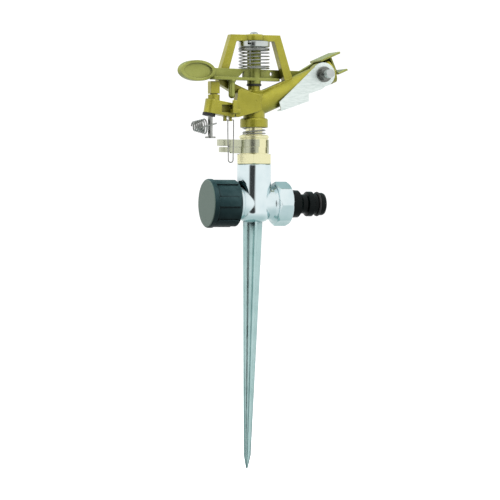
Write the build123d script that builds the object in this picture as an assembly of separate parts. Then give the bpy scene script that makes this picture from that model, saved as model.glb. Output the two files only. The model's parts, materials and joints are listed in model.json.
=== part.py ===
from build123d import *
import math
import os

os.makedirs("parts", exist_ok=True)

# Impulse sprinkler on a ground spike, in millimetres, +Z up.
# The origin is on the head's turning axis, at the ground line where the spike leaves the T body.
# +X points along the inlet, and -Y is the side with the arm's lug and the deflector flap.

# Ground spike: four ribs that taper to a point, cast a little off the body's axis.
SPIKE_LENGTH = 174.7
POINT_LENGTH = 9.2
SPIKE_TOP_X = -1.0
SPIKE_TIP_X = -5.2
RIB_REACH_TOP = 7.1
RIB_REACH_TIP = 2.5
RIB_EDGE_TOP = 2.0
RIB_EDGE_TIP = 1.5

# T body.
BODY_R = 12.1
BODY_TOP = 41.1
CROSS_Z = 13.0
CROSS_R = 11.25
WATERWAY_R = 6.5
BOSS_START = 14.4
BOSS_END = 25.2
BOSS_R = 15.8
BOSS_TURN = 4.0
PORT_R = 12.6
PORT_END = -31.5
THREAD_PITCH = 1.814

# Hose adapter on the inlet, from the boss outwards.
SPIGOT_R = 10.0
ADAPTER_FLANGE_R = 10.0
ADAPTER_RING_R = 8.9
ADAPTER_BORE_R = 4.6

# End cap.
CAP_FACE = -36.1
CAP_LENGTH = 19.9
CAP_R = 17.4
CAP_CORE_R = 16.3
CAP_BORE_R = 13.5
RIB_COUNT = 6
RIB_WIDTH = 6.6
RIB_TURN = 3.0

# Bearing between base and head.
HEX_ACROSS = 23.6
HEX_TOP = 48.0
SLEEVE_R = 9.9
SLEEVE_TOP = 61.1
TUBE_R = 6.0
TUBE_BORE_R = 4.6
RUN = 0.06
COLLAR_IN = 9.98
COLLAR_OUT = 10.7
LOWER_COLLAR = (48.7, 52.9)
UPPER_COLLAR = (53.1, 58.3)

# Head casting.
SKIRT_BOTTOM = 66.9
SKIRT_TOP = 73.5
SKIRT_R = 9.9
NECK_R = 7.7
POST_R = 4.35
POST_TOP = 96.5
BARREL_Z = 82.3
BARREL_TILT = 23.5
BARREL_R = 8.1
BARREL_LENGTH = 64.5
BARREL_BORE_R = 5.0
LEG_DEPTH = 6.5
BAR_BOTTOM = 128.2
BAR_TOP = 132.7

# Swing arm.
ARM_YAW = 14.0
HUB_R = 4.95
HUB_BOTTOM = 97.9
HUB_TOP = 123.2
WEB_BOTTOM = 102.1
WEB_TOP = 108.3
WEB_THICK = 2.6
LEDGE_BOTTOM = 100.1
PADDLE_X = -49.4
PADDLE_LENGTH = 29.6
PADDLE_HEIGHT = 14.6
PIN_R = 2.0
LUG_AT = (-19.7, -7.2)
LUG_R = 2.35
LUG_BOTTOM = 87.1

# Springs.
DRIVE_COIL_R = 10.9
DRIVE_WIRE_R = 0.45
DRIVE_BOTTOM = 108.4
DRIVE_TOP = 123.9
CUP_R = 11.1
CUP_BOTTOM = 124.0
CUP_TOP = 128.1
CUP_NOTCH_TURN = -128.0

# Trip rocker, on a pin that leaves the shield and slopes up to the left.
ROCKER_Y = -6.0
ROCKER_SLOPE = 10.0
ROCKER_RIGHT = (-18.2, 78.3)
ROCKER_LENGTH = 21.5
ROCKER_HEIGHT = 9.8
ROCKER_DEPTH = 10.0
ROCKER_END_R = 4.4
POST_X = -32.8
ROCKER_END_WALL = 3.0
TRIP_PIN_R = 1.5
STUD_X = -35.5
STUD_R = 1.7

# Hairpin wire under the rocker.
WIRE_R = 0.4
WIRE_LEFT = -22.2
WIRE_RIGHT = -17.9
WIRE_TOP = 71.9
WIRE_BOTTOM = 41.9

# Deflector flap on the barrel's near side.
FLAP_Y = -9.6
FLAP_THICK = 1.0
BOLT_X = 49.8
BOLT_Z = 105.3


def rod(radius, start, end):
    """A round bar from one point to another."""
    line = Vector(*end) - Vector(*start)
    return Plane(origin=start, z_dir=line) * extrude(Circle(radius), line.length)


def upright(radius, bottom, top, at=(0, 0)):
    return rod(radius, (*at, bottom), (*at, top))


def along_x(radius, start, end, y=0, z=CROSS_Z):
    return rod(radius, (start, y, z), (end, y, z))


def along_y(radius, start, end, x=BOLT_X, z=BOLT_Z):
    return rod(radius, (x, start, z), (x, end, z))


def block(low, high):
    size = [b - a for a, b in zip(low, high)]
    middle = [(a + b) / 2 for a, b in zip(low, high)]
    return Pos(*middle) * Box(*size)


def slab(points, y_low, y_high):
    """A plate in the XZ plane with the given outline, from y_low to y_high."""
    outline = make_face(Polyline(*points, close=True))
    return Plane(origin=(0, y_high, 0), x_dir=(1, 0, 0), z_dir=(0, -1, 0)) * extrude(outline, y_high - y_low)


def plan(points, bottom, top):
    """A plate with the given plan outline, from bottom to top."""
    outline = make_face(Polyline(*points, close=True))
    return Pos(0, 0, bottom) * extrude(outline, top - bottom)


def spun(points):
    """A turned part about Z from its (radius, height) outline."""
    profile = make_face(Polyline(*points, close=True))
    return revolve(Plane.XZ * profile, Axis.Z)


def spun_x(points):
    """A turned part about the cross tube's axis from its (x, radius) outline."""
    turned = spun([(r, x) for x, r in points])
    return Pos(0, 0, CROSS_Z) * Rot(0, 90, 0) * turned


def coil(radius, wire_r, bottom, top, pitch):
    """A round wire coil about Z."""
    path = Helix(pitch, top - bottom - 2 * wire_r, radius, center=(0, 0, bottom + wire_r))
    section = Plane(origin=path @ 0, z_dir=path % 0) * Circle(wire_r)
    return sweep(section, path=path, is_frenet=True)


def bent_wire(points, wire_r, bend):
    path = FilletPolyline(*points, radius=bend)
    section = Plane(origin=path @ 0, z_dir=path % 0) * Circle(wire_r)
    return sweep(section, path=path)


# ---------------------------------------------------------------- base


def spike_section(z, centre_x, reach, edge):
    """A plus with hollow flanks between its four ribs."""
    half = edge / 2
    waist = reach * 0.34
    lines = []
    for quarter in range(4):
        turn = Rot(0, 0, 90 * quarter)
        lines.append(turn * Line((reach, -half), (reach, half)))
        lines.append(turn * ThreePointArc((reach, half), (waist, waist), (half, reach)))
    return Pos(centre_x, 0, z) * make_face(lines)


def make_spike():
    top = spike_section(1.5, SPIKE_TOP_X, RIB_REACH_TOP, RIB_EDGE_TOP)
    shoulder_z = POINT_LENGTH - SPIKE_LENGTH
    shoulder = spike_section(shoulder_z, SPIKE_TIP_X, RIB_REACH_TIP, RIB_EDGE_TIP)
    point = spike_section(-SPIKE_LENGTH, SPIKE_TIP_X - 0.3, 0.6, 0.5)
    return loft([top, shoulder], ruled=True) + loft([shoulder, point], ruled=True)


def make_threaded_port():
    """Male G3/4 end for a second sprinkler, its crests as turned ridges."""
    outline = [(-11.0, CROSS_R - 1), (-11.0, PORT_R - 0.6)]
    x = -16.0
    outline.append((x, PORT_R - 0.6))
    while x - THREAD_PITCH > PORT_END:
        outline += [(x - 0.6, PORT_R + 0.6), (x - 0.9, PORT_R + 0.6), (x - 1.5, PORT_R - 0.6)]
        x -= THREAD_PITCH
        outline.append((x, PORT_R - 0.6))
    outline += [(PORT_END, PORT_R - 0.9), (PORT_END, CROSS_R - 1)]
    return spun_x(outline)


def make_boss():
    """Octagonal inlet boss with chamfered corners, blending into the cross tube."""
    octagon = Rot(0, 0, BOSS_TURN) * RegularPolygon(BOSS_R, 8, major_radius=True)
    section = Plane(origin=(BOSS_START, 0, CROSS_Z), x_dir=(0, -1, 0), z_dir=(1, 0, 0))
    prism = section * extrude(octagon, BOSS_END - BOSS_START)
    envelope = spun_x([(12.0, 0), (12.0, 11.0), (13.2, 12.6), (BOSS_START + 0.6, BOSS_R - 1.2),
                       (BOSS_START + 1.6, BOSS_R + 0.1), (BOSS_END - 1.2, BOSS_R + 0.1),
                       (BOSS_END, BOSS_R - 1.3), (BOSS_END, 0)])
    throat = spun_x([(10.0, 0), (10.0, CROSS_R), (12.4, 11.6), (BOSS_START + 0.3, 13.4), (BOSS_START + 0.3, 0)])
    return (prism & envelope) + throat


def make_spike_body():
    rounding = 8.0
    flat_r = BODY_R - rounding + 1.5
    bend = BODY_R - (BODY_R - flat_r) * (1 - math.sin(math.radians(45)))
    profile = [Line((0, 0), (flat_r, 0)), ThreePointArc((flat_r, 0), (bend, 2.2), (BODY_R, rounding)),
               Line((BODY_R, rounding), (BODY_R, BODY_TOP - 0.6)),
               Line((BODY_R, BODY_TOP - 0.6), (BODY_R - 0.6, BODY_TOP)),
               Line((BODY_R - 0.6, BODY_TOP), (0, BODY_TOP)), Line((0, BODY_TOP), (0, 0))]
    tube = revolve(Plane.XZ * make_face(profile), Axis.Z)
    cross = along_x(CROSS_R, -16.0, BOSS_START + 0.2)
    body = tube + cross + make_threaded_port() + make_boss() + make_spike()
    body -= along_x(WATERWAY_R, PORT_END - 1, BOSS_END + 1)
    body -= along_x(SPIGOT_R + 0.15, 12.5, BOSS_END + 1)
    body -= upright(8.2, CROSS_Z, 27.0)
    body -= upright(10.45, 24.5, BODY_TOP + 1)
    return body


def make_bearing_nipple():
    """Hex nipple screwed into the body, with the sleeve that the head turns in."""
    hexagon = Rot(0, 0, -111.4) * RegularPolygon(HEX_ACROSS / 2, 6, major_radius=False)
    prism = Pos(0, 0, BODY_TOP) * extrude(hexagon, HEX_TOP - BODY_TOP)
    corner = HEX_ACROSS / 2 / math.cos(math.radians(30))
    crown = spun([(0, BODY_TOP), (corner - 0.9, BODY_TOP), (corner + 0.05, BODY_TOP + 0.6),
                  (corner + 0.05, HEX_TOP - 0.6), (corner - 0.9, HEX_TOP), (0, HEX_TOP)])
    sleeve = spun([(0, HEX_TOP - 1), (SLEEVE_R, HEX_TOP - 1), (SLEEVE_R, SLEEVE_TOP - 1.9),
                   (SLEEVE_R + 0.6, SLEEVE_TOP - 1.6), (SLEEVE_R + 0.6, SLEEVE_TOP - 0.3),
                   (SLEEVE_R + 0.3, SLEEVE_TOP), (0, SLEEVE_TOP)])
    spigot = spun([(0, 31.0), (9.8, 31.0), (10.4, 31.6), (10.4, BODY_TOP), (0, BODY_TOP)])
    nipple = (prism & crown) + sleeve + spigot
    return nipple - upright(TUBE_R + RUN, 30.0, SLEEVE_TOP + 1)


def make_nipple_seal():
    return upright(9.0, 29.4, 30.95) - upright(TUBE_R + RUN, 29.0, 31.5)


def make_hose_adapter():
    """Quick-connect nipple: threaded spigot, flange, neck, ring, waist, O-ring lands and nose."""
    body = spun_x([(13.5, 0), (13.5, SPIGOT_R), (BOSS_END, SPIGOT_R), (BOSS_END, 10.6),
                   (26.4, 10.6), (26.4, ADAPTER_FLANGE_R), (33.0, ADAPTER_FLANGE_R - 0.3), (35.6, 6.9),
                   (38.9, 6.9), (39.6, ADAPTER_RING_R - 0.5), (40.2, ADAPTER_RING_R),
                   (43.6, ADAPTER_RING_R), (44.4, 7.6), (46.9, 7.6), (46.9, 7.0), (49.3, 7.0),
                   (49.3, 8.1), (51.8, 8.1), (52.9, 7.5), (53.4, 6.4), (53.4, 0)])
    return body - along_x(ADAPTER_BORE_R, 10, 60)


def make_adapter_oring():
    ring = Torus(7.9, 0.9)
    return Pos(48.1, 0, CROSS_Z) * Rot(0, 90, 0) * ring


def make_filter_screen():
    """Strainer disc behind the adapter: a rim and two crossed rows of bars."""
    disc = along_x(9.2, 12.5, 13.5)
    for row in range(-2, 3):
        for column in range(-2, 3):
            disc -= Pos(13.0, row * 2.6, CROSS_Z + column * 2.6) * Box(3, 1.7, 1.7)
    return disc


def make_end_cap():
    """Screwed cap: plain rim at its face and six broad ribs behind it."""
    inner = CAP_FACE + CAP_LENGTH
    core = spun_x([(CAP_FACE, 0), (CAP_FACE, CAP_R - 0.9), (CAP_FACE + 0.5, CAP_R - 0.3),
                   (CAP_FACE + 1.2, CAP_R), (CAP_FACE + 3.6, CAP_R), (CAP_FACE + 4.2, CAP_CORE_R),
                   (inner + 1.6, CAP_CORE_R), (inner + 1.6, 0)])
    cap = core
    rib_length = CAP_LENGTH - 3.8
    for number in range(RIB_COUNT):
        turn = RIB_TURN + number * 360 / RIB_COUNT
        place = Pos(inner - rib_length / 2, 0, CROSS_Z) * Rot(-turn, 0, 0)
        cap += place * Pos(0, 1.6 - CAP_R, 0) * Box(rib_length, 3.6, RIB_WIDTH)
    cap &= along_x(CAP_R, CAP_FACE, inner + 1.6)
    return cap - along_x(CAP_BORE_R, CAP_FACE + 2.6, inner + 5)


def make_cap_washer():
    return along_x(13.2, CAP_FACE + 2.65, PORT_END - 0.05) - along_x(7.0, CAP_FACE, PORT_END)


# ---------------------------------------------------------------- friction collars


def make_collar(bottom, top, ear_reach, ear_turn):
    """A sprung strip that grips the sleeve, folded outwards on one side into an ear."""
    strip = COLLAR_OUT - COLLAR_IN
    ring = upright(COLLAR_OUT, bottom, top) - upright(COLLAR_IN, bottom - 1, top + 1)
    opening = plan([(0, 0), (30, -30 * math.tan(math.radians(46))), (0, -40)], bottom - 1, top + 1)
    ring -= opening
    pinch = 3.4
    ear = block((-ear_reach, -pinch / 2 - strip, bottom), (-COLLAR_IN - 0.3, pinch / 2 + strip, top))
    gap = block((-ear_reach + strip, -pinch / 2, bottom - 1), (-COLLAR_IN + 2, pinch / 2, top + 1))
    ear -= block((-ear_reach - 1, -20, bottom - 1), (-ear_reach + 8, 20, bottom + 0.7))
    return Rot(0, 0, ear_turn) * ((ring + ear) - gap - upright(COLLAR_IN, bottom - 1, top + 1))


# ---------------------------------------------------------------- head


def make_bridge():
    """Top bar, two legs and the two branches that carry them."""
    outer = [(-18.7, BAR_TOP), (18.7, BAR_TOP), (28.6, 100.8), (26.6, 97.0), (7.0, 86.0),
             (-7.0, 86.0), (-26.6, 97.0), (-28.6, 100.8)]
    window = [(-14.4, BAR_BOTTOM), (14.4, BAR_BOTTOM), (22.3, 100.4), (6.0, 93.6), (-6.0, 93.6),
              (-22.3, 100.4)]
    half = LEG_DEPTH / 2
    return slab(outer, -half, half) - slab(window, -half - 1, half + 1)


def make_shield():
    """Block on the near side of the neck that carries the trip pin."""
    front = [(-15.3, 92.9), (-13.5, 94.2), (1.6, 89.6), (2.4, 79.6), (0.4, 78.2), (-14.9, 73.9), (-17.2, 74.2)]
    return slab(front, -8.5, -1.0)


def barrel_frame():
    tilt = math.radians(BARREL_TILT)
    return Plane(origin=(0, 0, BARREL_Z), x_dir=(0, 1, 0), z_dir=(math.cos(tilt), 0, math.sin(tilt)))


def make_barrel():
    lip = 1.6
    solid = barrel_frame() * extrude(Circle(BARREL_R), BARREL_LENGTH)
    solid += barrel_frame() * Pos(0, 0, BARREL_LENGTH - lip - 2) * extrude(Circle(BARREL_R + 0.4), lip + 2)
    solid += along_y(8.3, FLAP_Y + FLAP_THICK + 0.1, 0)
    return solid - block((-30, -15, 60), (-2, 15, 110))


def make_head_casting():
    skirt = spun([(0, SKIRT_BOTTOM + 4.6), (SKIRT_R - 1.1, SKIRT_BOTTOM + 4.6), (SKIRT_R - 1.1, SKIRT_BOTTOM),
                  (SKIRT_R - 0.4, SKIRT_BOTTOM), (SKIRT_R, SKIRT_BOTTOM + 0.5), (SKIRT_R, SKIRT_TOP - 0.9),
                  (SKIRT_R - 0.9, SKIRT_TOP), (NECK_R, SKIRT_TOP), (NECK_R, 90.5), (POST_R, 93.0),
                  (POST_R, POST_TOP), (0, POST_TOP)])
    boss = spun([(0, BAR_BOTTOM), (6.2, BAR_BOTTOM), (6.9, BAR_BOTTOM + 0.6), (6.9, BAR_TOP - 0.3),
                 (6.2, BAR_TOP + 0.3), (0, BAR_TOP + 0.3)])
    trip_seat = rod(3.2, (-14.0, ROCKER_Y, 77.56), (-17.9, ROCKER_Y, 78.25))
    casting = skirt + boss + make_bridge() + make_shield() + make_barrel() + trip_seat
    bore = barrel_frame() * extrude(Circle(BARREL_BORE_R), BARREL_LENGTH + 1)
    mouth = barrel_frame() * Pos(0, 0, BARREL_LENGTH - 8) * extrude(Circle(6.0), 9)
    casting -= bore + mouth + Pos(0, 0, BARREL_Z) * Sphere(BARREL_BORE_R)
    casting -= upright(TUBE_R + 0.02, 60.0, 78.0)
    casting -= upright(TUBE_BORE_R, 77.0, BARREL_Z)
    casting -= upright(PIN_R, 91.5, BAR_TOP + 1)
    casting -= trip_pin_bore()
    casting -= along_y(1.9, FLAP_Y - 2, -5.6)
    return casting


def trip_line(start, end, radius):
    """A round bar on the rocker's axis, measured leftwards from the rocker's right end."""
    slope = math.radians(ROCKER_SLOPE)
    x, z = ROCKER_RIGHT
    points = [(x - s * math.cos(slope), ROCKER_Y, z + s * math.sin(slope)) for s in (start, end)]
    return rod(radius, *points)


def trip_pin_bore():
    return trip_line(-5.5, 0, TRIP_PIN_R)


def make_bearing_tube():
    flange = spun([(0, 27.6), (8.6, 27.6), (9.0, 28.0), (9.0, 29.3), (0, 29.3)])
    return flange + upright(TUBE_R, 28.0, 77.9) - upright(TUBE_BORE_R, 27.0, 79.0)


def make_bearing_washer():
    return upright(9.7, SLEEVE_TOP + 0.05, SLEEVE_TOP + 0.55) - upright(TUBE_R + RUN, 60, 63)


def make_bearing_spring():
    return coil(7.9, 0.55, SLEEVE_TOP + 0.6, SKIRT_BOTTOM + 4.5, 2.75)


def make_nozzle():
    """Brass tip in the barrel's mouth, with a six-sided rim round the orifice."""
    outside = barrel_frame() * Pos(0, 0, BARREL_LENGTH - 7.9) * extrude(Circle(5.98), 7.9)
    rim = barrel_frame() * Pos(0, 0, BARREL_LENGTH) * extrude(RegularPolygon(5.6, 6), 1.4)
    tip = outside + rim
    throat = loft([barrel_frame() * Pos(0, 0, BARREL_LENGTH - 8) * Circle(4.8),
                   barrel_frame() * Pos(0, 0, BARREL_LENGTH - 1) * Circle(2.2)])
    orifice = barrel_frame() * Pos(0, 0, BARREL_LENGTH - 2) * extrude(Circle(2.2), 5)
    return tip - throat - orifice


def make_fulcrum_pin():
    """Pin from the post to the top bar, with the round sleeve that carries the spring."""
    return upright(PIN_R - 0.02, 91.6, BAR_TOP + 0.4)


def make_pin_cap():
    cap = spun([(0, BAR_TOP + 0.4), (3.1, BAR_TOP + 0.4), (3.1, BAR_TOP + 0.9), (2.6, BAR_TOP + 1.7),
                (1.5, BAR_TOP + 2.2), (0, BAR_TOP + 2.3)])
    return cap


def make_spring_cup():
    """Notched cup under the top bar that holds the drive spring's upper end."""
    cup = spun([(0, CUP_BOTTOM), (CUP_R - 0.4, CUP_BOTTOM), (CUP_R, CUP_BOTTOM + 0.4), (CUP_R, CUP_TOP - 0.4),
                (CUP_R - 0.4, CUP_TOP), (0, CUP_TOP)])
    cavity = upright(CUP_R - 1.3, CUP_BOTTOM - 1, CUP_TOP - 1.2)
    cup -= cavity - upright(5.2, CUP_BOTTOM - 2, CUP_TOP)
    cup -= upright(PIN_R + RUN, 120, 130)
    for number in range(3):
        notch = block((CUP_R - 2.0, -1.3, CUP_TOP - 2.7), (CUP_R + 1, 1.3, CUP_TOP + 1))
        cup -= Rot(0, 0, CUP_NOTCH_TURN + 120 * number) * notch
    return cup


def make_arm_washer():
    return upright(5.3, POST_TOP + 0.05, HUB_BOTTOM - 0.05) - upright(PIN_R + RUN, 90, 100)


def make_flap_bolt():
    """Shoulder bolt from the barrel's side boss, its threaded end standing out through the nut."""
    shank = along_y(1.85, -18.0, -5.8)
    shoulder = along_y(2.4, FLAP_Y - 0.2, FLAP_Y + FLAP_THICK + 0.05)
    tip = along_y(3.1, -21.9, -14.9)
    return shank + shoulder + tip


def make_flap_washers():
    """Plain washer against the flap, and two spring washers under the nut."""
    plain = along_y(5.6, FLAP_Y - 1.1, FLAP_Y - 0.1)
    first = along_y(4.2, FLAP_Y - 1.9, FLAP_Y - 1.15)
    second = along_y(4.2, FLAP_Y - 2.75, FLAP_Y - 2.0)
    hole = along_y(2.45, -30, 0)
    return Compound(children=[plain - hole, first - hole, second - hole])


def make_flap_nut():
    plane = Plane(origin=(BOLT_X, -12.4, BOLT_Z), x_dir=(1, 0, 0), z_dir=(0, -1, 0))
    nut = plane * extrude(Rot(0, 0, 12) * RegularPolygon(4.6, 6), 2.4)
    return nut - along_y(1.87, -16, -10)


# ---------------------------------------------------------------- arm


def make_swing_arm():
    """Impact arm: hub, web with a ledge below it, dished paddle, lug and water bucket."""
    half = WEB_THICK / 2
    hub = upright(HUB_R, HUB_BOTTOM, HUB_TOP)
    web = block((PADDLE_X + 11.0, -half, WEB_BOTTOM), (46.0, half, WEB_TOP))
    ledge = block((PADDLE_X + 12.0, -half - 3.6, LEDGE_BOTTOM), (19.0, half, WEB_BOTTOM + 0.1))
    rise = [(40.0, WEB_TOP), (40.0, 102.1), (46.0, 100.4), (72.4, 107.9), (66.0, 121.2), (54.5, 115.9)]
    cheek = slab(rise, -half, half)
    paddle = make_paddle()
    arm = hub + web + ledge + cheek + paddle
    arm -= slab([(-14.5, 102.3), (-9.4, 102.3), (-9.4, 107.0)], -9, 9)
    arm -= rod(1.6, (14.6, -9, 105.4), (14.6, 9, 105.4))
    arm = Rot(0, 0, ARM_YAW) * arm
    arm += make_lug() + make_bucket()
    arm -= upright(3.0, HUB_BOTTOM - 1, HUB_TOP + 1)
    return arm


def make_paddle():
    """Oval dished paddle with a raised rim, facing the near side."""
    face = Plane(origin=(PADDLE_X, 0, 106.0), x_dir=(1, 0, 0), z_dir=(0, -1, 0))
    blank = face * Pos(0, 0, -2.2) * extrude(Ellipse(PADDLE_LENGTH / 2, PADDLE_HEIGHT / 2), 4.4)
    dish = face * Pos(0, 0, 1.0) * extrude(Ellipse(PADDLE_LENGTH / 2 - 2.8, PADDLE_HEIGHT / 2 - 1.9), 2.0)
    return blank - dish


def make_lug():
    lug = upright(LUG_R, LUG_BOTTOM + LUG_R, LEDGE_BOTTOM + 0.5, LUG_AT)
    lug += Pos(*LUG_AT, LUG_BOTTOM + LUG_R) * Sphere(LUG_R)
    root = upright(LUG_R + 0.7, LEDGE_BOTTOM - 1.2, LEDGE_BOTTOM + 0.5, LUG_AT)
    return lug + root


def make_bucket():
    """Two plates along the barrel's rise and the curved vane between them, ahead of the nozzle."""
    tilt = math.radians(BARREL_TILT)
    place = Plane(origin=(0, 0, BARREL_Z), x_dir=(math.cos(tilt), 0, math.sin(tilt)), z_dir=(0, -1, 0))
    width = 21.0
    top = place * Pos(0, 0, -17.0) * extrude(Pos(67.0, 10.2) * Rectangle(16.0, 1.4), width)
    bottom = place * Pos(0, 0, -17.0) * extrude(Pos(71.6, -3.2) * Rectangle(7.6, 1.4), width)
    vane = place * Pos(68.9, 3.5, -17.0) * extrude(Rectangle(1.4, 14.6), width - 5.5)
    return top + bottom + vane


def make_arm_bush():
    return upright(2.98, HUB_BOTTOM + 0.05, HUB_TOP - 0.02) - upright(PIN_R + RUN, 90, 130)


def make_drive_spring():
    return coil(DRIVE_COIL_R, DRIVE_WIRE_R, DRIVE_BOTTOM, DRIVE_TOP, 1.75)


# ---------------------------------------------------------------- trip


def make_rocker_body():
    """Long block on the pin's slope whose left end is rounded in plan."""
    slope = math.radians(ROCKER_SLOPE)
    length = ROCKER_LENGTH - 0.2
    bar = Box(length, ROCKER_HEIGHT, ROCKER_DEPTH)
    bar = fillet(bar.edges().filter_by(Axis.Y).group_by(Axis.X)[-1], ROCKER_END_R)
    x, z = ROCKER_RIGHT
    place = Plane(origin=(x, ROCKER_Y, z), x_dir=(-math.cos(slope), 0, math.sin(slope)), z_dir=(0, -1, 0))
    return place * Pos(0.2 + length / 2, 0, 0) * bar


def make_trip_lever():
    """Rocker on the trip pin: round-ended body, upright post, front finger and two eyes for the wire."""
    body = make_rocker_body()
    pocket = block((-28.5, -12, 77.0), (-20.0, ROCKER_Y - 2.2, 82.4))
    post = upright(4.2, 80.0, 89.6, (POST_X, ROCKER_Y)) + upright(2.7, 88.0, 92.0, (POST_X, ROCKER_Y))
    post += block((POST_X - 3.3, ROCKER_Y - 3.2, 90.3), (POST_X + 3.3, ROCKER_Y + 3.2, 99.0))
    arm = block((-22.0, -16.3, 76.4), (-18.9, ROCKER_Y - 3, 79.4))
    tip = block((-22.0, -16.3, 76.4), (-18.9, -14.5, 85.4))
    left_eye = block((-25.4, ROCKER_Y - 1.3, 71.1), (-23.6, ROCKER_Y + 1.3, 77.0))
    right_eye = block((-21.2, ROCKER_Y - 1.3, 71.1), (-19.6, ROCKER_Y + 1.3, 77.0))
    lever = (body - pocket) + post + arm + tip + left_eye + right_eye
    lever -= trip_line(-1, ROCKER_LENGTH - ROCKER_END_WALL, TRIP_PIN_R + RUN)
    lever -= along_x(WIRE_R + RUN, -30, -17, ROCKER_Y, WIRE_TOP)
    lever -= upright(STUD_R, 60, 77.6, (STUD_X, ROCKER_Y))
    return lever


def make_trip_pin():
    return trip_line(-5.4, ROCKER_LENGTH - ROCKER_END_WALL - 0.1, TRIP_PIN_R - 0.01)


def make_trip_buffer():
    """Black buffer disc clipped under the rocker, round the stud."""
    slope = math.radians(ROCKER_SLOPE)
    down = Vector(-math.sin(slope), 0, -math.cos(slope))
    axis_z = ROCKER_RIGHT[1] + (ROCKER_RIGHT[0] - STUD_X) * math.tan(slope)
    centre = Vector(STUD_X, ROCKER_Y, axis_z)
    top = centre + down * (ROCKER_HEIGHT / 2 + 0.05)
    disc = rod(4.6, tuple(top), tuple(top + down * 1.9))
    return disc - upright(STUD_R + 0.03, 60, 90, (STUD_X, ROCKER_Y))


def make_trip_stud():
    """Stud under the rocker that carries the over-centre spring, with its foot disc."""
    stud = upright(STUD_R - 0.02, 60.0, 77.5, (STUD_X, ROCKER_Y))
    foot = upright(3.8, 58.9, 60.0, (STUD_X, ROCKER_Y))
    return stud + foot


def make_trip_spring():
    """Coil lying along the rocker, left of the stud."""
    turns = coil(5.5, 0.45, 0.0, 11.2, 1.9)
    return Pos(-49.4, ROCKER_Y, 67.2) * Rot(0, 90, 0) * turns


def make_trip_wire():
    """Hairpin whose two ends are bent into the rocker's eyes."""
    path = [(-26.0, ROCKER_Y, WIRE_TOP), (WIRE_LEFT, ROCKER_Y, WIRE_TOP), (WIRE_LEFT, ROCKER_Y, WIRE_BOTTOM),
            (WIRE_RIGHT, ROCKER_Y, WIRE_BOTTOM), (WIRE_RIGHT, ROCKER_Y, WIRE_TOP), (-21.5, ROCKER_Y, WIRE_TOP)]
    return bent_wire(path, WIRE_R, 1.9)


# ---------------------------------------------------------------- flap


def make_deflector_flap():
    """Bright sheet flap: round end on the bolt, long tapering blade and a bent lower flange."""
    face = [(BOLT_X - 4.6, BOLT_Z + 7.15), (15.6, 85.0), (17.0, 79.6), (38.2, 87.0), (38.2, 91.2),
            (48.0, 94.6), (57.6, 101.9)]
    blade = slab(face, FLAP_Y, FLAP_Y + FLAP_THICK)
    eye = along_y(8.5, FLAP_Y, FLAP_Y + FLAP_THICK)
    flange = slab([(17.0, 79.6), (17.3, 78.7), (38.5, 86.1), (38.2, 87.0)], FLAP_Y, FLAP_Y + 8.0)
    return blade + eye + flange - along_y(2.46, -20, 0)


nodes = {
    "spike_body": make_spike_body,
    "bearing_nipple": make_bearing_nipple,
    "nipple_seal": make_nipple_seal,
    "hose_adapter": make_hose_adapter,
    "adapter_oring": make_adapter_oring,
    "filter_screen": make_filter_screen,
    "end_cap": make_end_cap,
    "cap_washer": make_cap_washer,
    "lower_collar": lambda: make_collar(*LOWER_COLLAR, 25.4, -4),
    "upper_collar": lambda: make_collar(*UPPER_COLLAR, 27.2, 0),
    "head_casting": make_head_casting,
    "bearing_tube": make_bearing_tube,
    "bearing_washer": make_bearing_washer,
    "bearing_spring": make_bearing_spring,
    "nozzle": make_nozzle,
    "fulcrum_pin": make_fulcrum_pin,
    "pin_cap": make_pin_cap,
    "spring_cup": make_spring_cup,
    "arm_washer": make_arm_washer,
    "flap_bolt": make_flap_bolt,
    "flap_washers": make_flap_washers,
    "flap_nut": make_flap_nut,
    "swing_arm": make_swing_arm,
    "arm_bush": make_arm_bush,
    "drive_spring": make_drive_spring,
    "trip_lever": make_trip_lever,
    "trip_pin": make_trip_pin,
    "trip_buffer": make_trip_buffer,
    "trip_stud": make_trip_stud,
    "trip_spring": make_trip_spring,
    "trip_wire": make_trip_wire,
    "deflector_flap": make_deflector_flap,
}

for name, make in nodes.items():
    export_step(make(), f"parts/{name}.step")
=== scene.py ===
import json
import math

import bpy
from mathutils import Matrix, Vector


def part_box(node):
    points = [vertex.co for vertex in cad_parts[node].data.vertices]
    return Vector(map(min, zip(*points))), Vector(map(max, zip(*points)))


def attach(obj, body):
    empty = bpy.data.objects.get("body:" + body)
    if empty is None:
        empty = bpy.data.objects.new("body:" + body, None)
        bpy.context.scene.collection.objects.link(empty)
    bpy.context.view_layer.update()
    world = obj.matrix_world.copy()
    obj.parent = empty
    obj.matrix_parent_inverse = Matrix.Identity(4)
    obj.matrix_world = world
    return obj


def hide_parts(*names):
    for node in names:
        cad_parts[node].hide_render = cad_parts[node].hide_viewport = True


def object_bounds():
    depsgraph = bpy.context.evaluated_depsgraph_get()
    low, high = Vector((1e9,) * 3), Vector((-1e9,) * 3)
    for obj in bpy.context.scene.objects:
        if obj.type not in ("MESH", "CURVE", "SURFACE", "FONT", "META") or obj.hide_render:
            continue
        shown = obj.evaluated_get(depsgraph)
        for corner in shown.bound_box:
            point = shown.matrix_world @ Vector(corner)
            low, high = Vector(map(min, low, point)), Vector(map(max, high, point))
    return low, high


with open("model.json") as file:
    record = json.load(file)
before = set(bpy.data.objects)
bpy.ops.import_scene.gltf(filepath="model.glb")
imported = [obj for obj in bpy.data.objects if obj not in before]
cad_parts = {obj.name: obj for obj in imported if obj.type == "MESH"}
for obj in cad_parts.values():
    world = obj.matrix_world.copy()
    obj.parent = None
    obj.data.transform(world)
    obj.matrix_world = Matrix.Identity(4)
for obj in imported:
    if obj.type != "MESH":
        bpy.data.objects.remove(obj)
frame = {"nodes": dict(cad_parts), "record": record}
CAD_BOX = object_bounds()
MM = 0.001

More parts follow.
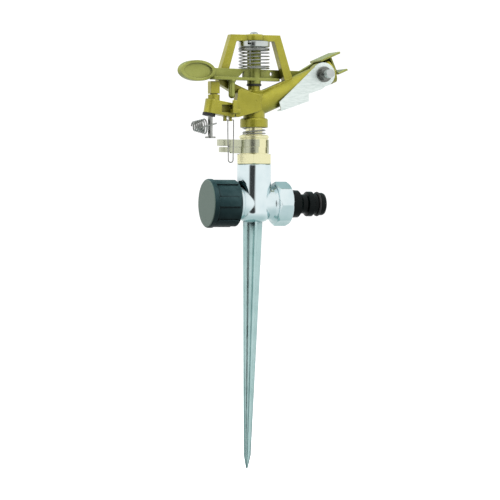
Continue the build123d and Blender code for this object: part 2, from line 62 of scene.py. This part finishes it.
# Places on the frame, in metres, read from the CAD nodes' own boxes.
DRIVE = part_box("drive_spring")
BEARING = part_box("bearing_spring")
TRIP_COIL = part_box("trip_spring")
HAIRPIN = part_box("trip_wire")
GROUND = CAD_BOX[0][2]
CAP_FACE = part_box("end_cap")[0][0]

# Wires: the radius of each, and the sizes that the boxes don't give.
DRIVE_WIRE = 0.45 * MM
STOUT_WIRE = 0.55 * MM
CLEARANCE = 0.02 * MM  # keeps a wire just inside its CAD node's box
CLOSED_PITCH = 2.05  # of the wire's radius, where one turn rests on the next
STEPS_PER_TURN = 20

DRIVE_OPEN_TURNS = 5
DRIVE_START = math.radians(-128)  # where the coil starts, which is under the cup's notch
TANG_INSET = 0.9  # of the coil's radius
TANG_RISE = 2 * MM
BEARING_START = math.radians(150)

TRIP_TURNS = 6
TRIP_NARROW_END = 0.55  # of the wide end's radius
TRIP_END_GAP = 0.35 * MM
TRIP_SIDE_GAP = 0.05 * MM
TRIP_LEG_START = 4.5 * MM
TRIP_LEG_DROP = 1.2 * MM
TRIP_LEG_REACH = 5.5 * MM
TRIP_LEG_RISE = 2.0 * MM

HAIRPIN_LEG_OFFSET = 3.8 * MM
HAIRPIN_BEND = 0.8 * MM  # how far a bent corner is spread out
HAIRPIN_HOOK = 3.2 * MM
HAIRPIN_STRAIGHT = 12 * MM
HAIRPIN_NARROWING = 0.35 * MM
HAIRPIN_FOOT_RISE = 4 * MM
HAIRPIN_FOOT_STEPS = 8

# How far a rounded normal leans on a paled edge, worn and partly a painted highlight, and on a flat, as
# cosines.
EDGE_LEAN = 1.0 - 1.0 / 8.8
FLAT_LEAN = 0.995

# The body's polish turns into the spike's satin finish between these heights.
SATIN_FROM = -0.004
POLISH_FROM = 0.006


# ---------------------------------------------------------------- node helpers


class Shader:
    """A small builder for one node material."""

    def __init__(self, name, colour, metallic, roughness):
        self.material = bpy.data.materials.new(name)
        self.material.use_nodes = True
        self.tree = self.material.node_tree
        self.bsdf = self.tree.nodes["Principled BSDF"]
        self.bsdf.inputs["Base Color"].default_value = (*colour, 1)
        self.bsdf.inputs["Metallic"].default_value = metallic
        self.bsdf.inputs["Roughness"].default_value = roughness
        self.bump_end = None
        self.coordinates = self.tree.nodes.new("ShaderNodeTexCoord")

    def node(self, kind, **values):
        """A new node of one kind with some of its settings given."""
        made = self.tree.nodes.new(kind)
        for key, value in values.items():
            setattr(made, key, value)
        return made

    def link(self, source, target):
        """Joins an output to an input."""
        self.tree.links.new(source, target)

    def stretched(self, stretch):
        """Object coordinates scaled along each axis."""
        mapping = self.node("ShaderNodeMapping")
        mapping.inputs["Scale"].default_value = stretch
        self.link(self.coordinates.outputs["Object"], mapping.inputs["Vector"])
        return mapping.outputs["Vector"]

    def noise(self, scale, detail=3.0, rough=0.55, stretch=(1, 1, 1)):
        """Cloudy noise over the object: a larger scale is finer, a smaller stretch draws it out."""
        made = self.node("ShaderNodeTexNoise")
        made.inputs["Scale"].default_value = scale
        made.inputs["Detail"].default_value = detail
        made.inputs["Roughness"].default_value = rough
        self.link(self.stretched(stretch), made.inputs["Vector"])
        return made.outputs["Fac"]

    def ramp(self, source, low, high, start=0.0, end=1.0):
        """Greys: source below start gives low, above end gives high."""
        made = self.node("ShaderNodeMapRange")
        made.inputs["From Min"].default_value = start
        made.inputs["From Max"].default_value = end
        made.inputs["To Min"].default_value = low
        made.inputs["To Max"].default_value = high
        self.link(source, made.inputs["Value"])
        return made.outputs["Result"]

    def mix(self, factor, first, second):
        """Colours: first where factor is 0, second where it is 1."""
        made = self.node("ShaderNodeMix", data_type="RGBA")
        for socket, value in ((made.inputs[6], first), (made.inputs[7], second)):
            if isinstance(value, tuple):
                socket.default_value = (*value, 1)
            else:
                self.link(value, socket)
        self.link(factor, made.inputs[0])
        return made.outputs[2]

    def edges(self, radius):
        """1 on sharp outer edges and corners, 0 on flats, from how far a rounded normal leans."""
        bevel = self.node("ShaderNodeBevel", samples=6)
        bevel.inputs["Radius"].default_value = radius
        geometry = self.node("ShaderNodeNewGeometry")
        dot = self.node("ShaderNodeVectorMath", operation="DOT_PRODUCT")
        self.link(bevel.outputs["Normal"], dot.inputs[0])
        self.link(geometry.outputs["Normal"], dot.inputs[1])
        return self.ramp(dot.outputs["Value"], 1.0, 0.0, EDGE_LEAN, FLAT_LEAN)

    def crevices(self, distance):
        """1 deep in corners, 0 in the open: where shade is painted into the colour."""
        shade = self.node("ShaderNodeAmbientOcclusion", samples=6)
        shade.inputs["Distance"].default_value = distance
        return self.ramp(shade.outputs["AO"], 0.85, 0.0, start=0.30, end=0.85)

    def round_edges(self, radius):
        """Softens the shading across edges; radius is a length, or a socket that gives one."""
        bevel = self.node("ShaderNodeBevel", samples=8)
        if isinstance(radius, float):
            bevel.inputs["Radius"].default_value = radius
        else:
            self.link(radius, bevel.inputs["Radius"])
        self.bump_end = bevel.outputs["Normal"]

    def bump(self, height, distance, strength):
        """Adds a relief on top of the normal that is there so far."""
        made = self.node("ShaderNodeBump")
        made.inputs["Strength"].default_value = strength
        made.inputs["Distance"].default_value = distance
        self.link(height, made.inputs["Height"])
        if self.bump_end is not None:
            self.link(self.bump_end, made.inputs["Normal"])
        self.bump_end = made.outputs["Normal"]

    def done(self):
        """Joins up the normal and hands over the material."""
        if self.bump_end is not None:
            self.link(self.bump_end, self.bsdf.inputs["Normal"])
        return self.material

    def colour_from(self, source):
        """Lets an output set the base colour."""
        self.link(source, self.bsdf.inputs["Base Color"])

    def roughness_from(self, source):
        """Lets an output set the roughness."""
        self.link(source, self.bsdf.inputs["Roughness"])


# ---------------------------------------------------------------- materials


def paint(name, body, deep, pale):
    """Bronze metallic paint on a die casting: flakes, soft orange peel, paler edges that are partly rubbed
    wear and partly a painted highlight, and shade painted into the corners.
    """
    s = Shader(name, body, metallic=0.55, roughness=0.34)
    cloud = s.noise(55, detail=4)
    flakes = s.noise(2600, detail=1)
    base = s.mix(s.ramp(cloud, 0, 1, start=0.35, end=0.7), body, deep)
    base = s.mix(s.ramp(flakes, 0, 0.3, start=0.5, end=0.75), base, pale)
    # Paler edges: partly rubbed wear, partly a painted highlight along the edges.
    base = s.mix(s.ramp(s.edges(0.5 * MM), 0, 0.5), base, pale)
    # Painted shade: the colour darkens deep in corners, found by ambient occlusion.
    painted_shade = tuple(0.35 * value for value in deep)
    s.colour_from(s.mix(s.crevices(9 * MM), base, painted_shade))
    s.roughness_from(s.ramp(s.noise(240), 0.27, 0.42, start=0.3, end=0.7))
    s.bsdf.inputs["Coat Weight"].default_value = 0.2
    s.bsdf.inputs["Coat Roughness"].default_value = 0.12
    s.round_edges(0.6 * MM)
    s.bump(s.noise(420), 0.05 * MM, strength=0.35)
    s.bump(flakes, 0.01 * MM, strength=0.25)
    return s.done()


def plated(name, colour, dull):
    """Bright plating over a casting: faint ripple, cloudy polish and hairline rubbing."""
    roughness = 0.2
    s = Shader(name, colour, metallic=1.0, roughness=roughness)
    cloud = s.ramp(s.noise(70, detail=4), 0, 0.7, start=0.4, end=0.75)
    s.colour_from(s.mix(cloud, colour, dull))
    smear = s.noise(190, detail=5)
    s.roughness_from(s.ramp(smear, roughness * 0.7, roughness * 1.9, start=0.35, end=0.75))
    s.round_edges(0.2 * MM)
    s.bump(s.noise(120, detail=2), 0.05 * MM, strength=0.1)
    s.bump(s.noise(900), 0.008 * MM, strength=0.2)
    return s.done()


def chrome(name):
    """Plated die casting: polished on the body, thinner, bluer and more satin down the spike, with dark teal
    shade painted into its corners.
    """
    polish = (0.80, 0.91, 0.93)
    s = Shader(name, polish, metallic=1.0, roughness=0.1)
    place = s.node("ShaderNodeSeparateXYZ")
    s.link(s.coordinates.outputs["Object"], place.inputs[0])
    spike = s.ramp(place.outputs["Z"], 1.0, 0.0, start=SATIN_FROM, end=POLISH_FROM)
    cloud = s.ramp(s.noise(70, detail=4), 0, 0.7, start=0.4, end=0.75)
    body = s.mix(cloud, polish, (0.62, 0.77, 0.80))
    satin = s.mix(cloud, (0.50, 0.69, 0.68), (0.35, 0.54, 0.53))
    # Painted shade: dark teal colour deep in corners, found by ambient occlusion.
    corners = s.ramp(s.crevices(8 * MM), 0.0, 0.8, start=0.0, end=0.85)
    s.colour_from(s.mix(corners, s.mix(spike, body, satin), (0.07, 0.15, 0.16)))
    polished = s.ramp(s.noise(190, detail=5), 0.06, 0.14, start=0.35, end=0.75)
    lines = s.noise(400, detail=4, rough=0.6, stretch=(1, 1, 0.15))
    drawn = s.ramp(lines, 0.22, 0.38, start=0.3, end=0.7)
    rough = s.node("ShaderNodeMix")
    s.link(spike, rough.inputs[0])
    s.link(polished, rough.inputs[2])
    s.link(drawn, rough.inputs[3])
    s.roughness_from(rough.outputs[0])
    s.round_edges(s.ramp(spike, 1.3 * MM, 0.35 * MM))
    s.bump(s.noise(120, detail=2), 0.05 * MM, strength=0.08)
    s.bump(s.noise(900), 0.004 * MM, strength=0.1)
    return s.done()


def rolled(name, colour, dull, roughness, grain):
    """Rolled or turned metal with a grain drawn out along one axis."""
    s = Shader(name, colour, metallic=1.0, roughness=roughness)
    lines = s.noise(900, detail=4, rough=0.6, stretch=grain)
    s.colour_from(s.mix(s.ramp(lines, 0, 0.6, start=0.35, end=0.7), colour, dull))
    s.roughness_from(s.ramp(lines, roughness * 0.75, roughness * 1.5, start=0.3, end=0.7))
    s.round_edges(0.2 * MM)
    s.bump(lines, 0.012 * MM, strength=0.35)
    return s.done()


def moulded(name, colour, wear_and_highlight, roughness, grain_depth, face=None):
    """Moulded plastic: fine spark grain, paler edges that are partly rubbed wear and partly a painted
    highlight, shade painted into its grooves and, if given, a painted reflection that lightens the cap's flat
    face.
    """
    s = Shader(name, colour, metallic=0.0, roughness=roughness)
    s.bsdf.inputs["Specular IOR Level"].default_value = 0.14
    base = s.mix(s.ramp(s.noise(90), 0, 0.5, start=0.35, end=0.7), colour, wear_and_highlight)
    # Paler edges: partly rubbed wear, partly a painted highlight along the edges.
    base = s.mix(s.ramp(s.edges(0.5 * MM), 0, 0.9), base, wear_and_highlight)
    # Painted shade: the colour darkens in the grooves and corners, found by ambient occlusion.
    painted_shade = tuple(0.1 * value for value in colour)
    base = s.mix(s.ramp(s.crevices(2.6 * MM), 0, 1, start=0, end=0.16), base, painted_shade)
    # Painted reflection: the cap's flat face is coloured lighter, as if it caught the light.
    if face:
        place = s.node("ShaderNodeSeparateXYZ")
        s.link(s.coordinates.outputs["Object"], place.inputs[0])
        face_reflection_mask = s.ramp(place.outputs["X"], 1.0, 0.0, start=CAP_FACE + 0.2 * MM, end=CAP_FACE + 0.6 * MM)
        base = s.mix(face_reflection_mask, base, face)
    s.colour_from(base)
    s.roughness_from(s.ramp(s.noise(500), roughness * 0.85, roughness * 1.2, start=0.3, end=0.7))
    s.round_edges(0.35 * MM)
    s.bump(s.noise(1900, detail=2), grain_depth, strength=0.5)
    return s.done()


def wire(name):
    """Drawn steel wire: smooth, bright, with faint dull patches."""
    bright = (0.42, 0.43, 0.41)
    s = Shader(name, bright, metallic=1.0, roughness=0.2)
    s.colour_from(s.mix(s.ramp(s.noise(300), 0, 1, start=0.4, end=0.7), bright, (0.20, 0.21, 0.19)))
    s.roughness_from(s.ramp(s.noise(500, detail=2), 0.14, 0.3, start=0.35, end=0.7))
    return s.done()


def rubber(name):
    """Black rubber, dusty in patches."""
    black = (0.010, 0.010, 0.010)
    s = Shader(name, black, metallic=0.0, roughness=0.55)
    s.colour_from(s.mix(s.ramp(s.noise(160), 0, 1, start=0.4, end=0.7), black, (0.028, 0.028, 0.027)))
    s.roughness_from(s.ramp(s.noise(600), 0.45, 0.65, start=0.3, end=0.7))
    s.round_edges(0.15 * MM)
    s.bump(s.noise(1500, detail=2), 0.01 * MM, strength=0.4)
    return s.done()


MATERIALS = {
    "bronze_paint": paint("bronze_paint", (0.44, 0.41, 0.040), (0.31, 0.29, 0.020), (0.68, 0.65, 0.20)),
    "arm_paint": paint("arm_paint", (0.37, 0.40, 0.095), (0.23, 0.25, 0.038), (0.58, 0.62, 0.23)),
    "chrome": chrome("chrome"),
    "bright_plate": plated("bright_plate", (0.63, 0.67, 0.65), (0.36, 0.39, 0.36)),
    "dark_steel": plated("dark_steel", (0.26, 0.27, 0.25), (0.10, 0.11, 0.10)),
    "brass": rolled("brass", (0.93, 0.90, 0.58), (0.82, 0.78, 0.45), 0.27, (1, 1, 8)),
    "flap_zinc": rolled("flap_zinc", (0.90, 0.98, 0.95), (0.62, 0.71, 0.67), 0.36, (0.3, 1, 3)),
    "collar_steel": rolled("collar_steel", (0.62, 0.64, 0.48), (0.44, 0.46, 0.32), 0.26, (1, 1, 6)),
    "spring_steel": wire("spring_steel"),
    "screen_steel": rolled("screen_steel", (0.6, 0.6, 0.6), (0.45, 0.45, 0.45), 0.3, (1, 1, 1)),
    "black_plastic": moulded("black_plastic", (0.001, 0.003, 0.003), (0.004, 0.008, 0.008), 0.24, 0.006 * MM),
    # The face colour is a painted reflection on the cap's flat face.
    "cap_plastic": moulded("cap_plastic", (0.010, 0.031, 0.034), (0.050, 0.095, 0.10), 0.34, 0.014 * MM,
                           face=(0.13, 0.185, 0.155)),
    "rubber": rubber("rubber"),
}
SLOTS = {entry["node"]: entry["material_slot"] for entry in frame["record"]["subparts"]}


def dress(piece, slot):
    """Gives a piece its slot's material and no other."""
    piece.data.materials.clear()
    piece.data.materials.append(MATERIALS[slot])


for name, node in frame["nodes"].items():
    dress(node, SLOTS[name])


# ---------------------------------------------------------------- pieces


def wire_piece(name, lines, radius):
    """Round wire along one or more lists of points."""
    curve = bpy.data.curves.new(name, "CURVE")
    curve.dimensions = "3D"
    curve.bevel_depth = radius
    curve.bevel_resolution = 5
    curve.resolution_u = 3
    curve.use_fill_caps = True
    for points in lines:
        spline = curve.splines.new("NURBS")
        spline.points.add(len(points) - 1)
        for place, point in zip(spline.points, points):
            place.co = (*point, 1)
        spline.order_u = 3
        spline.use_endpoint_u = True
    made = bpy.data.objects.new(name, curve)
    bpy.context.scene.collection.objects.link(made)
    mesh = bpy.data.meshes.new_from_object(made.evaluated_get(bpy.context.evaluated_depsgraph_get()))
    bpy.data.objects.remove(made)
    piece = bpy.data.objects.new(name, mesh)
    bpy.context.scene.collection.objects.link(piece)
    for face in mesh.polygons:
        face.use_smooth = True
    return piece


def coil_points(radius, heights, start):
    """Points of a coil about the Z axis: heights holds the height after each whole turn."""
    points = []
    for low, high in zip(heights, heights[1:]):
        for step in range(STEPS_PER_TURN):
            angle = start + math.tau * step / STEPS_PER_TURN
            height = low + (high - low) * step / STEPS_PER_TURN
            points.append((radius * math.cos(angle), radius * math.sin(angle), height))
    return points


def coil_room(box, wire):
    """The radius, lowest and highest middle of a wire whose coil fills a CAD node's box."""
    radius = (box[1][0] - box[0][0]) / 2 - wire - CLEARANCE
    return radius, box[0][2] + wire + CLEARANCE, box[1][2] - wire - CLEARANCE


def finish_piece(piece, slot, body, node):
    """Dresses a piece, lets it ride a body and puts it in place of a CAD node."""
    dress(piece, slot)
    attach(piece, body)
    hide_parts(node)


def make_drive_spring():
    """Closed coils at both ends, open ones between, and a straight tang down the near side."""
    radius, bottom, top = coil_room(DRIVE, DRIVE_WIRE)
    closed = CLOSED_PITCH * DRIVE_WIRE
    pitch = (top - bottom - 3 * closed) / DRIVE_OPEN_TURNS
    heights = [bottom, bottom + closed]
    for _ in range(DRIVE_OPEN_TURNS):
        heights.append(heights[-1] + pitch)
    heights += [top - closed, top]
    coil = coil_points(radius, heights, DRIVE_START)
    tang_x = radius * math.cos(DRIVE_START) * TANG_INSET
    tang_y = radius * math.sin(DRIVE_START) * TANG_INSET
    tang = [(tang_x, tang_y, bottom + TANG_RISE), (tang_x, tang_y, top)]
    piece = wire_piece("drive_spring_wire", [coil, tang], DRIVE_WIRE)
    finish_piece(piece, "spring_steel", "head", "drive_spring")


def make_bearing_spring():
    """Two open turns between two closed ones, pressed under the head."""
    radius, bottom, top = coil_room(BEARING, STOUT_WIRE)
    closed = CLOSED_PITCH * STOUT_WIRE
    heights = [bottom, bottom + closed, (bottom + top) / 2, top - closed, top]
    coil = coil_points(radius, heights, BEARING_START)
    piece = wire_piece("bearing_spring_wire", [coil], STOUT_WIRE)
    finish_piece(piece, "spring_steel", "head", "bearing_spring")


def make_trip_spring():
    """Coil lying along the rocker, narrower at its free end, with a leg that reaches past the stud."""
    (x_low, y_low, z_low), (x_high, y_high, z_high) = TRIP_COIL
    y_mid, z_mid = (y_low + y_high) / 2, (z_low + z_high) / 2
    wide = (z_high - z_low) / 2 - STOUT_WIRE - TRIP_SIDE_GAP
    length = x_high - x_low - 2 * (STOUT_WIRE + TRIP_END_GAP)
    coil = []
    for step in range(TRIP_TURNS * STEPS_PER_TURN + 1):
        share = step / (TRIP_TURNS * STEPS_PER_TURN)
        angle = math.tau * step / STEPS_PER_TURN
        radius = wide * (TRIP_NARROW_END + (1 - TRIP_NARROW_END) * share)
        x = x_low + STOUT_WIRE + TRIP_END_GAP + length * share
        coil.append((x, y_mid + radius * math.cos(angle), z_mid + radius * math.sin(angle)))
    leg_y = y_mid - wide - CLEARANCE
    leg_start = (x_low + TRIP_LEG_START, leg_y, z_mid - TRIP_LEG_DROP)
    leg_end = (x_high + TRIP_LEG_REACH, leg_y, z_mid + TRIP_LEG_RISE)
    piece = wire_piece("trip_spring_wire", [coil, [leg_start, leg_end]], STOUT_WIRE)
    finish_piece(piece, "spring_steel", "trip", "trip_spring")


def make_trip_wire():
    """Hairpin with a round foot that narrows a little, its two ends bent into the rocker's eyes."""
    (x_low, y_low, z_low), (x_high, y_high, z_high) = HAIRPIN
    wire = (y_high - y_low) / 2 - CLEARANCE / 2
    y = (y_low + y_high) / 2
    left, right = x_low + HAIRPIN_LEG_OFFSET, x_high - wire
    top, foot = z_high - wire, z_low + wire
    middle = (left + right) / 2
    radius = (right - left) / 2 - HAIRPIN_NARROWING
    narrow = foot + radius + HAIRPIN_FOOT_RISE
    line = [
        (x_low + wire, y, top),
        (left - HAIRPIN_BEND, y, top),
        (left, y, top),
        (left, y, top - HAIRPIN_BEND),
        (left, y, top - HAIRPIN_STRAIGHT),
        (middle - radius, y, narrow),
    ]
    for step in range(HAIRPIN_FOOT_STEPS + 1):
        angle = math.pi + math.pi * step / HAIRPIN_FOOT_STEPS
        line.append((middle + radius * math.cos(angle), y, foot + radius + radius * math.sin(angle)))
    line += [
        (middle + radius, y, narrow),
        (right, y, top - HAIRPIN_STRAIGHT),
        (right, y, top - HAIRPIN_BEND),
        (right, y, top),
        (right - HAIRPIN_BEND, y, top),
        (right - HAIRPIN_HOOK, y, top),
    ]
    piece = wire_piece("trip_hairpin", [line], wire)
    finish_piece(piece, "spring_steel", "trip_wire", "trip_wire")


for make in (make_drive_spring, make_bearing_spring, make_trip_spring, make_trip_wire):
    make()


# ---------------------------------------------------------------- studio

# The view: which way the camera looks from, level with the object's middle.
VIEW_AZIMUTH = math.radians(-21.4)
VIEW_DIRECTION = Vector((math.sin(VIEW_AZIMUTH), -math.cos(VIEW_AZIMUTH), 0))
VIEW_RIGHT = Vector((math.cos(VIEW_AZIMUTH), math.sin(VIEW_AZIMUTH), 0))
CAMERA_DISTANCE = 2.4
FRAME_WIDTH = 0.355
LOOK_AT = VIEW_RIGHT * (-2.84 * MM) + Vector((0, 0, -19.9 * MM))

# Parts of the room that polished metal mirrors: a dark one near the camera, a tinted one high behind.
DARK_PATCH = tuple(Matrix.Rotation(math.radians(-10), 3, "Z") @ VIEW_DIRECTION)
BACK_PATCH = tuple((Vector((0, 0, 0.62)) - VIEW_DIRECTION * 0.78).normalized())
UP = (0, 0, 1)
ROOM_TINT = (0.42, 0.56, 0.56, 1)
WHITE = (1, 1, 1, 1)
BACKDROP_STRENGTH = 1.1

# The side lamps stand in front of the object, one to the left and one to the right.
LIGHT_FORWARD = VIEW_DIRECTION * 0.5
LIGHT_ASIDE = VIEW_RIGHT * 0.8

FLOOR_SIZE = 60
FLOOR_GAP = 0.5 * MM
FLOOR_GLOW = 0.8


def make_floor():
    """Pale floor that glows a little, so that it stays even and lends the object no light."""
    bpy.ops.mesh.primitive_plane_add(size=FLOOR_SIZE, location=(0, 0, GROUND - FLOOR_GAP))
    floor = bpy.context.object
    floor.name = "floor"
    pale = (0.92, 0.92, 0.92)
    s = Shader("floor", pale, metallic=0.0, roughness=0.9)
    s.colour_from(s.mix(s.noise(3, detail=2), pale, (0.95, 0.95, 0.95)))
    s.bsdf.inputs["Emission Color"].default_value = WHITE
    s.bsdf.inputs["Emission Strength"].default_value = FLOOR_GLOW
    floor.data.materials.append(s.done())
    floor.visible_glossy = False
    floor.visible_diffuse = False


def world_value(tree, kind, first, second):
    """A maths node whose two inputs are sockets or numbers."""
    made = tree.nodes.new("ShaderNodeMath")
    made.operation = kind
    for socket, value in zip(made.inputs, (first, second)):
        if isinstance(value, (int, float)):
            socket.default_value = value
        else:
            tree.links.new(value, socket)
    return made.outputs[0]


def world_along(tree, where, direction, low, high, start, end):
    """A smooth step from low to high as the way looked runs toward one direction."""
    toward = tree.nodes.new("ShaderNodeVectorMath")
    toward.operation = "DOT_PRODUCT"
    toward.inputs[1].default_value = direction
    tree.links.new(where, toward.inputs[0])
    step = tree.nodes.new("ShaderNodeMapRange")
    step.interpolation_type = "SMOOTHSTEP"
    step.inputs["From Min"].default_value = start
    step.inputs["From Max"].default_value = end
    step.inputs["To Min"].default_value = low
    step.inputs["To Max"].default_value = high
    tree.links.new(toward.outputs["Value"], step.inputs["Value"])
    return step.outputs["Result"]


def world_strength(tree, where, ray):
    """Soft light from above, a bright room to mirror with its dark patch, and a white backdrop."""
    overhead = world_along(tree, where, UP, 0.14, 0.5, start=-0.2, end=0.9)
    mirrored = world_along(tree, where, DARK_PATCH, 0.96, 0.05, start=0.90, end=0.975)
    diffuse = world_value(tree, "MULTIPLY", ray.outputs["Is Diffuse Ray"], overhead)
    glossy = world_value(tree, "MULTIPLY", ray.outputs["Is Glossy Ray"], mirrored)
    seen = world_value(tree, "MULTIPLY", ray.outputs["Is Camera Ray"], BACKDROP_STRENGTH)
    return world_value(tree, "ADD", world_value(tree, "ADD", diffuse, glossy), seen)


def world_colour(tree, where, ray):
    """White, but tinted low down and in the back patch, except where the camera sees it."""
    upper = world_along(tree, where, UP, 0.35, 1.0, start=-0.95, end=-0.1)
    off_patch = world_along(tree, where, BACK_PATCH, 1.0, 0.0, start=0.80, end=0.95)
    white = world_value(tree, "MULTIPLY", upper, off_patch)
    tint = tree.nodes.new("ShaderNodeMix")
    tint.data_type = "RGBA"
    tint.inputs[6].default_value = ROOM_TINT
    tint.inputs[7].default_value = WHITE
    tree.links.new(world_value(tree, "MAXIMUM", white, ray.outputs["Is Camera Ray"]), tint.inputs[0])
    return tint.outputs[2]


def make_world():
    """The room around the object."""
    world = bpy.data.worlds.new("studio")
    bpy.context.scene.world = world
    world.use_nodes = True
    tree = world.node_tree
    background = tree.nodes["Background"]
    where = tree.nodes.new("ShaderNodeTexCoord").outputs["Generated"]
    ray = tree.nodes.new("ShaderNodeLightPath")
    tree.links.new(world_strength(tree, where, ray), background.inputs["Strength"])
    tree.links.new(world_colour(tree, where, ray), background.inputs["Color"])


def make_camera():
    """Long lens, level with the object."""
    data = bpy.data.cameras.new("camera")
    data.lens = data.sensor_width * CAMERA_DISTANCE / FRAME_WIDTH
    camera = bpy.data.objects.new("camera", data)
    bpy.context.scene.collection.objects.link(camera)
    camera.location = LOOK_AT + VIEW_DIRECTION * CAMERA_DISTANCE
    camera.rotation_euler = (math.radians(90), 0, VIEW_AZIMUTH)
    bpy.context.scene.camera = camera


def make_softbox(name, place, side, power):
    """Square lamp aimed at the object, which doesn't show in polished metal."""
    data = bpy.data.lights.new(name, "AREA")
    data.shape = "RECTANGLE"
    data.size = side
    data.size_y = side
    data.energy = power
    lamp = bpy.data.objects.new(name, data)
    bpy.context.scene.collection.objects.link(lamp)
    lamp.location = place
    lamp.rotation_euler = (-place).to_track_quat("-Z", "Y").to_euler()
    lamp.visible_glossy = False


make_floor()
make_world()
make_camera()
make_softbox("left_softbox", LIGHT_FORWARD - LIGHT_ASIDE + Vector((0, 0, 0.85)), side=1.0, power=14)
make_softbox("right_softbox", LIGHT_FORWARD + LIGHT_ASIDE + Vector((0, 0, 0.9)), side=1.0, power=17)
make_softbox("top_softbox", Vector((0, 0.1, 1.2)), side=0.6, power=2.5)
bpy.context.scene.view_settings.view_transform = "Standard"
